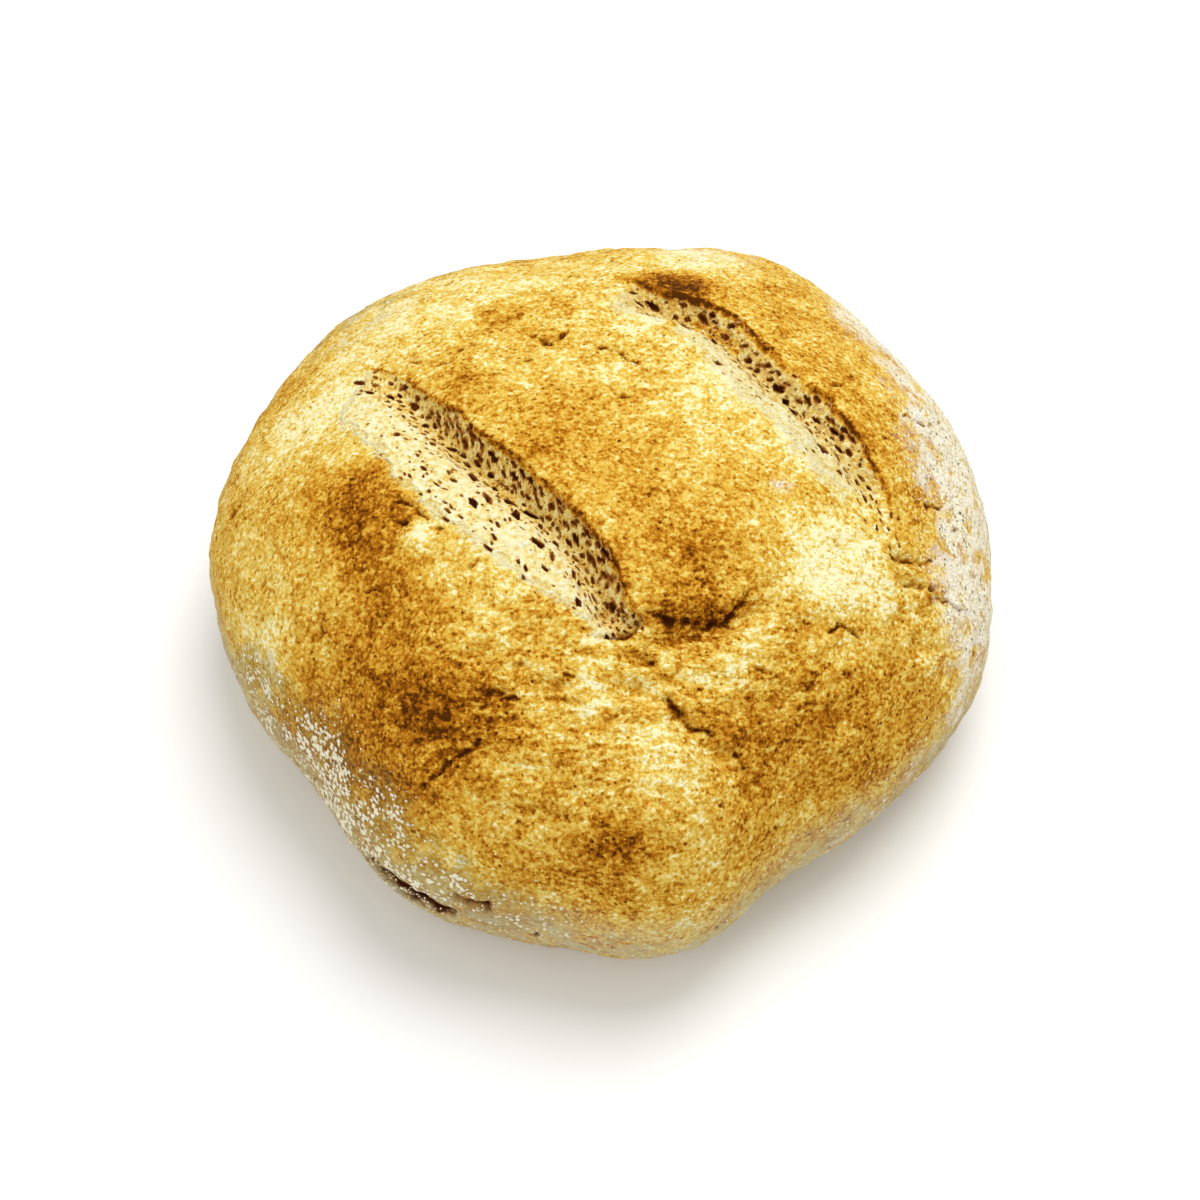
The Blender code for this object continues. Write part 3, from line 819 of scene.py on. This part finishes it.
def finishSurface(loaf):
    # cracks, wrinkles, rough crust and torn crumb, then the holes
    mesh = loaf.data
    allCracks = list(cracks) + scatterCracks(mesh)

    def nearCracks(middles, normals, areas):
        found = np.zeros(len(middles), bool)
        for path, width, _ in allCracks:
            close = nearPath(middles, path, surface["crackBox"] * mm)
            away = pathDistance(warped(middles[close]), normals[close], path)
            found[close] |= away < (width * 0.5 + surface["crackReach"]) * mm
        return found & (areas > surface["crackArea"] * mm**2)

    splitFaces(mesh, nearCracks, surface["crackCuts"])
    points, normals = getPoints(mesh), getNormals(mesh)
    crumb, relief = readValues(mesh, "crumb"), readValues(mesh, "relief")
    side = smooth(points[:, 2] / (surface["floorBlend"] * mm))
    crackDepth, dark = crackShape(points, normals, allCracks)
    ridgeHeight, ridgeBrown = ridgeShape(points, normals)
    wrinkles = wrinkleAmount(points)
    skin = lumps(points, surface["rough"]) + wrinkleHeight(points, wrinkles)
    height = (1 - crumb) * skin + relief + ridgeHeight - crackDepth * (1 - surface["crackInCrumb"] * crumb)
    moved = points + (height * side)[:, None] * normals
    moved[:, 2] = np.maximum(moved[:, 2], 0)
    setPoints(mesh, moved)
    singe = readValues(mesh, "singe")
    low = smooth((surface["streaksBelow"] - points[:, 2] / mm) / surface["streaksRun"])
    streaks = surface["streaks"] * side * low
    values = {
        # browned ridges and the dark lip line, partly scorched and partly painted shade, show no crumb
        "crumb": np.clip(crumb - 3 * np.clip(ridgeBrown, 0, 1) - 1.3 * singe, 0, 1),
        "wall": readValues(mesh, "wall"), "singe": singe, "crack": dark * side * (1 - crumb),
        # brown holds real browning and the painted shade of the front and lower sides
        "brown": np.clip(browningAndShadeOf(points) + ridgeBrown + browningAndShade["underneath"] * (1 - side), 0, 1),
        "wrinkle": np.clip(wrinkles + streaks, 0, 1),
    }
    values["dust"] = dustOf(points, normals) * (1 - values["crack"])
    floured = flourOf(points) * (1 - values["crack"])
    values["flour"] = floured
    # a thick coat on the right side, and loose flakes over browner crust on the left
    toRight = points[:, 0] / (flour["sideRun"] * mm)
    for name, way in (("coat", toRight), ("ground", -toRight)):
        least, run = flour[name]
        values[name] = smooth((floured - least) / run) * smooth(way)
    print("skin and cracks:", len(mesh.polygons), "faces")
    nearest, away = cutHoles(loaf)
    mesh = loaf.data
    for name in ("crumb", "wall", "singe", "relief"):
        mesh.attributes.remove(mesh.attributes[name])
    for name, value in values.items():
        writeValues(mesh, name, value[nearest])
    # depth into the holes, which the material turns into painted shade
    writeValues(mesh, "hole", np.clip(away / holes["reach"], 0, 1))
    mesh.shade_smooth()
    print("loaf with holes:", len(mesh.polygons), "faces")


# Clumps of flour and semolina stuck on the crust, in mm
grains = {
    "count": 4200,
    "radius": (0.16, 0.5),
    "seed": 3,
    "flat": 0.5,
    "sunk": 0.25,
    "crowd": 0.45,  # above this much flour, grains lie no closer
    "leastFlour": 0.08,
    "lowest": 6,  # no grains below this height, and few just above it
    "stray": 0.8,
    "uneven": (0.7, 1.2),
    "stretch": (0.8, 1.4),
}


def makeGrains(loaf):
    rng = random.Random(grains["seed"])
    points, normals = getPoints(loaf.data), getNormals(loaf.data)
    bare = (1 - readValues(loaf.data, "crumb")) * (readValues(loaf.data, "hole") < 0.01)
    above = smooth((points[:, 2] / mm - grains["lowest"]) / grains["lowest"])
    weight = readValues(loaf.data, "flour") * bare * above
    places = np.flatnonzero(weight > grains["leastFlour"])
    ball = bmesh.new()
    bmesh.ops.create_icosphere(ball, subdivisions=1, radius=1.0)
    corners = [vertex.co.copy() for vertex in ball.verts]
    faces = [[vertex.index for vertex in face.verts] for face in ball.faces]
    ball.free()
    verts, polys = [], []
    made = 0
    while made < grains["count"]:
        index = int(places[rng.randrange(len(places))])
        if rng.random() > min(weight[index], grains["crowd"]):
            continue
        normal = Vector(normals[index])
        side = normal.orthogonal().normalized()
        side.rotate(Matrix.Rotation(rng.uniform(0, math.tau), 3, normal))
        across = normal.cross(side)
        low, high = grains["radius"]
        radius = (low + (high - low) * rng.random() ** 2) * mm
        stray = rng.uniform(-grains["stray"], grains["stray"])
        middle = Vector(points[index]) + side * stray * mm - normal * radius * grains["sunk"]
        first = len(verts)
        stretch = rng.uniform(*grains["stretch"])
        for corner in corners:
            spot = corner * radius * rng.uniform(*grains["uneven"])
            spot.z *= grains["flat"]
            verts.append(middle + side * spot.x * stretch + across * spot.y + normal * spot.z)
        polys.extend([[first + corner for corner in face] for face in faces])
        made += 1
    mesh = bpy.data.meshes.new("flourGrains")
    mesh.from_pydata(verts, [], polys)
    mesh.shade_smooth()
    piece = bpy.data.objects.new("flourGrains", mesh)
    bpy.context.scene.collection.objects.link(piece)
    print("flour grains:", made)
    return piece


def linear(hexColor):
    channels = [int(hexColor[i:i + 2], 16) / 255 for i in (1, 3, 5)]
    return (*[c / 12.92 if c <= 0.04045 else ((c + 0.055) / 1.055) ** 2.4 for c in channels], 1.0)


def addNode(tree, kind, settings, inputs):
    # a node with its settings, and its inputs by name or number: a value, or another node's output
    node = tree.nodes.new("ShaderNode" + kind)
    for name, value in settings.items():
        if name == "stops":
            for place, _ in value[len(node.color_ramp.elements):]:
                node.color_ramp.elements.new(place)
            for element, (place, color) in zip(node.color_ramp.elements, value):
                element.position = place
                element.color = linear(color)
        else:
            setattr(node, name, value)
    for key, value in inputs.items():
        if isinstance(value, bpy.types.NodeSocket):
            tree.links.new(value, node.inputs[key])
        else:
            node.inputs[key].default_value = value
    return node.outputs


def newMaterial(name):
    material = bpy.data.materials.new(name)
    material.use_nodes = True
    return material, material.node_tree, material.node_tree.nodes["Principled BSDF"]


# Crust and crumb: colours by how far they are baked, pattern sizes in mm
crustLook = {
    "baked": ((0.0, "#FAF0C0"), (0.12, "#F1DB82"), (0.25, "#E7C45A"), (0.4, "#DBAB3C"), (0.58, "#C4821E"),
              (0.76, "#9A590C"), (1.0, "#522B07")),
    # size, amount and roughness of each layer of mottling
    "mottling": ((9.0, 0.45, 0.55), (3.2, 0.60, 0.60), (1.2, 1.15, 0.65)),
    "grit": 0.9,
    "gritAmount": 0.34,
    "streak": 2.6,
    "streakAmount": 1.6,
    "streakDrawn": (0.35, 1.0, 0.9),  # streaks are longest from side to side
    "bran": {"size": 1.9, "near": (0.30, 0.16), "tone": 1, "pick": (0.70, 0.80)},
    "bareSpots": {"size": 1.7, "near": (0.36, 0.16), "tone": 1, "pick": (0.35, 0.65)},
    # fine pores of the crumb, painted dark: painted shade in tiny pits
    "pores": {"size": 1.3, "near": (0.44, 0.14), "tone": 0, "pick": (0.78, 0.90)},
    "clump": 1.5,
    "clumpWarp": 2.0,
    "crumbGrain": 1.7,
    "crumb": ((0.2, "#B87A2C"), (0.34, "#E2B65A"), (0.42, "#F5DB86"), (0.51, "#FDF0B0"), (0.61, "#FFF9D4")),
    # the torn wall's crumb is darker than the floor's: partly browner crumb, partly painted shade
    "wallCrumb": ((0.2, "#94581C"), (0.34, "#C4862F"), (0.43, "#E9BA52"), (0.53, "#FADE82"),
                  (0.64, "#FFF1B6")),
    # colour inside the holes, darker the deeper in: painted shade in the cavities
    "hole": ((0.08, "#E6BC68"), (0.28, "#B8762E"), (0.5, "#7C4018"), (0.85, "#54260E")),
    # dark of the fine pores: painted shade
    "pore": "#94581E",
    "flour": "#F9F1D4",
    "dust": "#BDB492",
    "ground": "#80601F",
    "coat": "#FCF7E4",
    "speck": "#6E5826",
    # colour deep in the cracks: painted shade over crust that is baked darker at their edges
    "crack": "#3C1105",
    "relief": 0.95 * mm,
}


def scatterSpots(tree, place, spots, more=()):
    # spots in random cells: a spot fills towards its cell's middle, and a random tone picks the cells
    cells = addNode(tree, "TexVoronoi", {}, {"Vector": place, "Scale": 1 / (spots["size"] * mm)})
    edge, full = spots["near"]
    near = addNode(tree, "MapRange", {}, {"Value": cells["Distance"], "From Min": edge, "From Max": full})[0]
    pick = addNode(tree, "SeparateColor", {}, {"Color": cells["Color"]})[spots["tone"]]
    for share, amount in more:
        pick = addNode(tree, "Math", {"operation": "MULTIPLY_ADD"}, {0: share, 1: amount, 2: pick})[0]
    low, high = spots["pick"]
    pick = addNode(tree, "MapRange", {}, {"Value": pick, "From Min": low, "From Max": high})[0]
    return addNode(tree, "Math", {"operation": "MULTIPLY"}, {0: near, 1: pick})[0]


def crustParts(tree, place, value):
    # colour of the bare crust, and the patterns that its relief and the flour use too
    look = crustLook
    layers = []
    # the baked value carries painted shade as well as real browning
    baked = value["brown"]
    for size, amount, roughness in look["mottling"]:
        layer = addNode(tree, "TexNoise", {}, {"Vector": place, "Scale": 1 / (size * mm), "Detail": 3.0,
                                               "Roughness": roughness})["Fac"]
        layers.append(layer)
        layer = addNode(tree, "Math", {"operation": "SUBTRACT"}, {0: layer, 1: 0.5})[0]
        baked = addNode(tree, "Math", {"operation": "MULTIPLY_ADD"}, {0: layer, 1: amount, 2: baked})[0]
    gritCells = addNode(tree, "TexVoronoi", {}, {"Vector": place, "Scale": 1 / (look["grit"] * mm)})
    gritTone = addNode(tree, "SeparateColor", {}, {"Color": gritCells["Color"]})[0]
    gritTone = addNode(tree, "Math", {"operation": "SUBTRACT"}, {0: gritTone, 1: 0.5})[0]

    # flaky streaks that run from side to side, mostly on the wrinkled skin; their low creases are baked
    # darker and their ridges paler, partly painted shade in the creases
    drawn = addNode(tree, "VectorMath", {"operation": "MULTIPLY"}, {0: place, 1: look["streakDrawn"]})[0]
    streak = addNode(tree, "TexNoise", {}, {"Vector": drawn, "Scale": 1 / (look["streak"] * mm),
                                            "Detail": 4.0, "Roughness": 0.6, "Distortion": 0.6})["Fac"]
    streak = addNode(tree, "Math", {"operation": "SUBTRACT"}, {0: streak, 1: 0.5})[0]
    streaky = addNode(tree, "Math", {"operation": "MULTIPLY_ADD"}, {0: value["wrinkle"], 1: 0.85, 2: 0.15})[0]
    streak = addNode(tree, "Math", {"operation": "MULTIPLY"}, {0: streak, 1: streaky})[0]
    for share, amount in ((gritTone, look["gritAmount"]), (streak, look["streakAmount"])):
        baked = addNode(tree, "Math", {"operation": "MULTIPLY_ADD"}, {0: share, 1: -amount, 2: baked})[0]

    # skin beside the crumb is paler; bran specks, cracks and the lips of the scores are baked darker, the
    # cracks and lips partly as painted shade
    bran = scatterSpots(tree, place, look["bran"])
    for share, amount in ((value["crumb"], -0.5), (bran, 0.35), (value["crack"], 0.75),
                          (value["singe"], 0.65)):
        baked = addNode(tree, "Math", {"operation": "MULTIPLY_ADD", "use_clamp": True},
                        {0: share, 1: amount, 2: baked})[0]
    color = addNode(tree, "ValToRGB", {"stops": look["baked"]}, {"Fac": baked})["Color"]
    return color, layers, streak, gritTone, gritCells["Distance"]


def flourParts(tree, warp, value, layers, streak):
    # how much each kind of flour covers: haze, thick coat, its bare spots, and small flakes
    cells = addNode(tree, "TexVoronoi", {}, {"Vector": warp, "Scale": 1 / (crustLook["clump"] * mm)})
    # a cell is floured where its random tone is under the amount of flour
    pick = addNode(tree, "SeparateColor", {}, {"Color": cells["Color"]})[0]
    pick = addNode(tree, "Math", {"operation": "SUBTRACT"}, {0: value["flour"], 1: pick})[0]
    pick = addNode(tree, "MapRange", {}, {"Value": pick, "From Min": -0.02, "From Max": 0.10})[0]
    flake = addNode(tree, "Math", {"operation": "MULTIPLY_ADD"},
                    {0: layers[2], 1: 1.0, 2: cells["Distance"]})[0]
    flake = addNode(tree, "Math", {"operation": "MULTIPLY_ADD"}, {0: value["flour"], 1: -0.48, 2: flake})[0]
    flake = addNode(tree, "MapRange", {"interpolation_type": "SMOOTHSTEP"},
                    {"Value": flake, "From Min": 0.66, "From Max": 0.50})[0]
    flake = addNode(tree, "Math", {"operation": "MULTIPLY"}, {0: flake, 1: pick})[0]
    haze = addNode(tree, "Math", {"operation": "MULTIPLY_ADD"}, {0: streak, 1: 4.0, 2: 0.72})[0]
    haze = addNode(tree, "Math", {"operation": "MULTIPLY", "use_clamp": True}, {0: value["dust"], 1: haze})[0]
    bare = scatterSpots(tree, warp, crustLook["bareSpots"])
    bare = addNode(tree, "Math", {"operation": "MULTIPLY"}, {0: bare, 1: value["coat"]})[0]
    coat = addNode(tree, "MapRange", {"interpolation_type": "SMOOTHSTEP"},
                   {"Value": layers[1], "From Min": 0.34, "From Max": 0.56})[0]
    coat = addNode(tree, "Math", {"operation": "MULTIPLY", "use_clamp": True}, {0: coat, 1: value["coat"]})[0]
    return haze, coat, bare, flake


def crumbParts(tree, place, warp, value):
    # torn crumb: pale floor and slightly darker torn wall, the wall's tone partly browner crumb and partly
    # painted shade among its holes and strands, each with fine pores
    look = crustLook
    grain = addNode(tree, "TexNoise", {}, {"Vector": place, "Scale": 1 / (look["crumbGrain"] * mm),
                                           "Detail": 4.0, "Roughness": 0.65})["Fac"]
    pore = scatterSpots(tree, warp, look["pores"], more=((value["wall"], 0.25),))
    tone = addNode(tree, "Math", {"operation": "MULTIPLY_ADD"}, {0: pore, 1: -0.3, 2: grain})[0]
    floorColor = addNode(tree, "ValToRGB", {"stops": look["crumb"]}, {"Fac": tone})["Color"]
    wallColor = addNode(tree, "ValToRGB", {"stops": look["wallCrumb"]}, {"Fac": tone})["Color"]
    color = addNode(tree, "Mix", {"data_type": "RGBA"}, {0: value["wall"], 6: floorColor, 7: wallColor})[2]
    share = addNode(tree, "Math", {"operation": "MULTIPLY_ADD"}, {0: grain, 1: 0.6, 2: value["crumb"]})[0]
    share = addNode(tree, "MapRange", {"interpolation_type": "SMOOTHSTEP"},
                    {"Value": share, "From Min": 0.5, "From Max": 1.0})[0]
    # torn is the painted shade of the fine pores
    torn = addNode(tree, "MapRange", {}, {"Value": pore, "From Min": 0.5, "From Max": 1.0})[0]
    torn = addNode(tree, "Math", {"operation": "MULTIPLY"}, {0: torn, 1: share})[0]
    rugged = addNode(tree, "Math", {"operation": "MULTIPLY"}, {0: grain, 1: share})[0]
    return color, share, torn, rugged


def breadMaterial():
    # dry baked wholemeal dough: matt, gritty crust that browns unevenly, and pale open crumb
    material, tree, shader = newMaterial("bakedWholemealDough")
    look = crustLook
    place = addNode(tree, "TexCoord", {}, {})["Object"]
    value = {name: addNode(tree, "Attribute", {"attribute_name": name}, {})["Fac"]
             for name in ("crumb", "wall", "singe", "crack", "brown", "wrinkle", "flour", "ground", "coat",
                          "dust", "hole")}
    shift = addNode(tree, "TexNoise", {}, {"Vector": place, "Scale": 1 / (look["clumpWarp"] * mm)})["Color"]
    warp = addNode(tree, "VectorMath", {"operation": "MULTIPLY_ADD"},
                   {0: shift, 1: (0.0014, 0.0014, 0.0014), 2: place})[0]
    color, layers, streak, gritTone, gritEdge = crustParts(tree, place, value)
    haze, coat, bare, flake = flourParts(tree, warp, value, layers, streak)
    crumbColor, crumbShare, torn, rugged = crumbParts(tree, place, warp, value)
    # the holes' painted shade, deepening towards their bottoms
    deep = addNode(tree, "MapRange", {"interpolation_type": "SMOOTHSTEP"},
                   {"Value": value["hole"], "From Min": 0.02, "From Max": 0.2})[0]
    holeShadeColor = addNode(tree, "ValToRGB", {"stops": look["hole"]}, {"Fac": value["hole"]})["Color"]
    # cracks: painted shade in their grooves
    crack = addNode(tree, "Math", {"operation": "POWER"}, {0: value["crack"], 1: 1.5})[0]

    # from the bare crust up to what covers it
    for share, strength, tint in (
        (value["ground"], 0.5, linear(look["ground"])),
        (haze, 0.9, linear(look["dust"])),
        (coat, 0.9, linear(look["coat"])),
        (flake, 0.95, linear(look["flour"])),
        (bare, 0.95, linear(look["speck"])),
        (crumbShare, 1.0, crumbColor),
        (torn, 0.8, linear(look["pore"])),
        (deep, 1.0, holeShadeColor),
        (crack, 0.95, linear(look["crack"])),
    ):
        share = addNode(tree, "Math", {"operation": "MULTIPLY"}, {0: share, 1: strength})[0]
        color = addNode(tree, "Mix", {"data_type": "RGBA"}, {0: share, 6: color, 7: tint})[2]
    tree.links.new(color, shader.inputs["Base Color"])
    shader.inputs["Roughness"].default_value = 0.85
    shader.inputs["Specular IOR Level"].default_value = 0.02
    shader.inputs["IOR"].default_value = 1.45

    height = streak
    for layer, amount in ((layers[1], 0.9), (layers[2], 0.9), (gritTone, 0.3), (gritEdge, -0.25),
                          (flake, 0.4), (rugged, 1.6), (torn, -1.0)):
        height = addNode(tree, "Math", {"operation": "MULTIPLY_ADD"}, {0: layer, 1: amount, 2: height})[0]
    bump = addNode(tree, "Bump", {}, {"Height": height, "Strength": 1.0, "Distance": look["relief"]})
    tree.links.new(bump["Normal"], shader.inputs["Normal"])
    return material


flourLook = {"tones": ((0.35, "#E3CC90"), (0.5, "#F4E8C0"), (0.65, "#FCF5DC")), "toneSize": 2.5}


def flourMaterial():
    # wheat flour and semolina, baked dry: off-white to straw, fully matt
    material, tree, shader = newMaterial("driedFlour")
    place = addNode(tree, "TexCoord", {}, {})["Object"]
    scale = 1 / (flourLook["toneSize"] * mm)
    tone = addNode(tree, "TexNoise", {}, {"Vector": place, "Scale": scale, "Detail": 2.0})["Fac"]
    color = addNode(tree, "ValToRGB", {"stops": flourLook["tones"]}, {"Fac": tone})["Color"]
    tree.links.new(color, shader.inputs["Base Color"])
    shader.inputs["Roughness"].default_value = 0.95
    shader.inputs["Specular IOR Level"].default_value = 0.02
    return material


# Camera at the photo's angle, and soft light from behind on the right
view = {
    "elevation": 55.0,
    "distance": 650 * mm,
    "target": (-0.37 * mm, -10.61 * mm, 38 * mm),
    "focalShare": 2208.9 / 1200,  # focal length as a share of the frame's width
    "sensor": 36.0,
}
light = {
    "keyLight": {"place": (0.28, 0.46, 1.32), "size": 1.0, "power": 14.0, "color": "#FFFFFF"},
    "fillLight": {"place": (-0.7, -0.8, 0.8), "size": 1.0, "power": 3.2, "color": "#FFFFFF"},
    "sky": 0.64,
    "floor": "#F7F7F5",
    "floorSize": 6.0,
}


def makeCamera():
    camera = bpy.data.objects.new("camera", bpy.data.cameras.new("camera"))
    bpy.context.scene.collection.objects.link(camera)
    camera.data.sensor_width = view["sensor"]
    camera.data.lens = view["focalShare"] * view["sensor"]
    camera.data.clip_start = 0.01
    tilt = math.radians(view["elevation"])
    camera.location = Vector(view["target"]) + Vector((0, -math.cos(tilt), math.sin(tilt))) * view["distance"]
    camera.rotation_euler = (math.pi / 2 - tilt, 0, 0)
    bpy.context.scene.camera = camera


def makeStudio():
    world = bpy.data.worlds.new("studio")
    bpy.context.scene.world = world
    world.use_nodes = True
    world.node_tree.nodes["Background"].inputs["Color"].default_value = (1, 1, 1, 1)
    world.node_tree.nodes["Background"].inputs["Strength"].default_value = light["sky"]
    for name in ("keyLight", "fillLight"):
        lamp = bpy.data.lights.new(name, "AREA")
        lamp.shape = "DISK"
        lamp.size = light[name]["size"]
        lamp.energy = light[name]["power"]
        lamp.color = linear(light[name]["color"])[:3]
        piece = bpy.data.objects.new(name, lamp)
        bpy.context.scene.collection.objects.link(piece)
        piece.location = light[name]["place"]
        piece.rotation_euler = piece.location.to_track_quat("Z", "Y").to_euler()
    bpy.ops.mesh.primitive_plane_add(size=light["floorSize"])
    floor = bpy.context.object
    floor.name = "floor"
    material, tree, shader = newMaterial("paleStudioFloor")
    shader.inputs["Base Color"].default_value = linear(light["floor"])
    shader.inputs["Roughness"].default_value = 0.9
    floor.data.materials.append(material)
    bpy.context.scene.view_settings.view_transform = "Standard"
    print("studio ready")


loaf = makeLoaf()
finishSurface(loaf)
loaf.data.materials.append(breadMaterial())
flourGrains = makeGrains(loaf)
flourGrains.data.materials.append(flourMaterial())
for piece in (loaf, flourGrains):
    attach(piece, "root")
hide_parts("loaf")
makeCamera()
makeStudio()
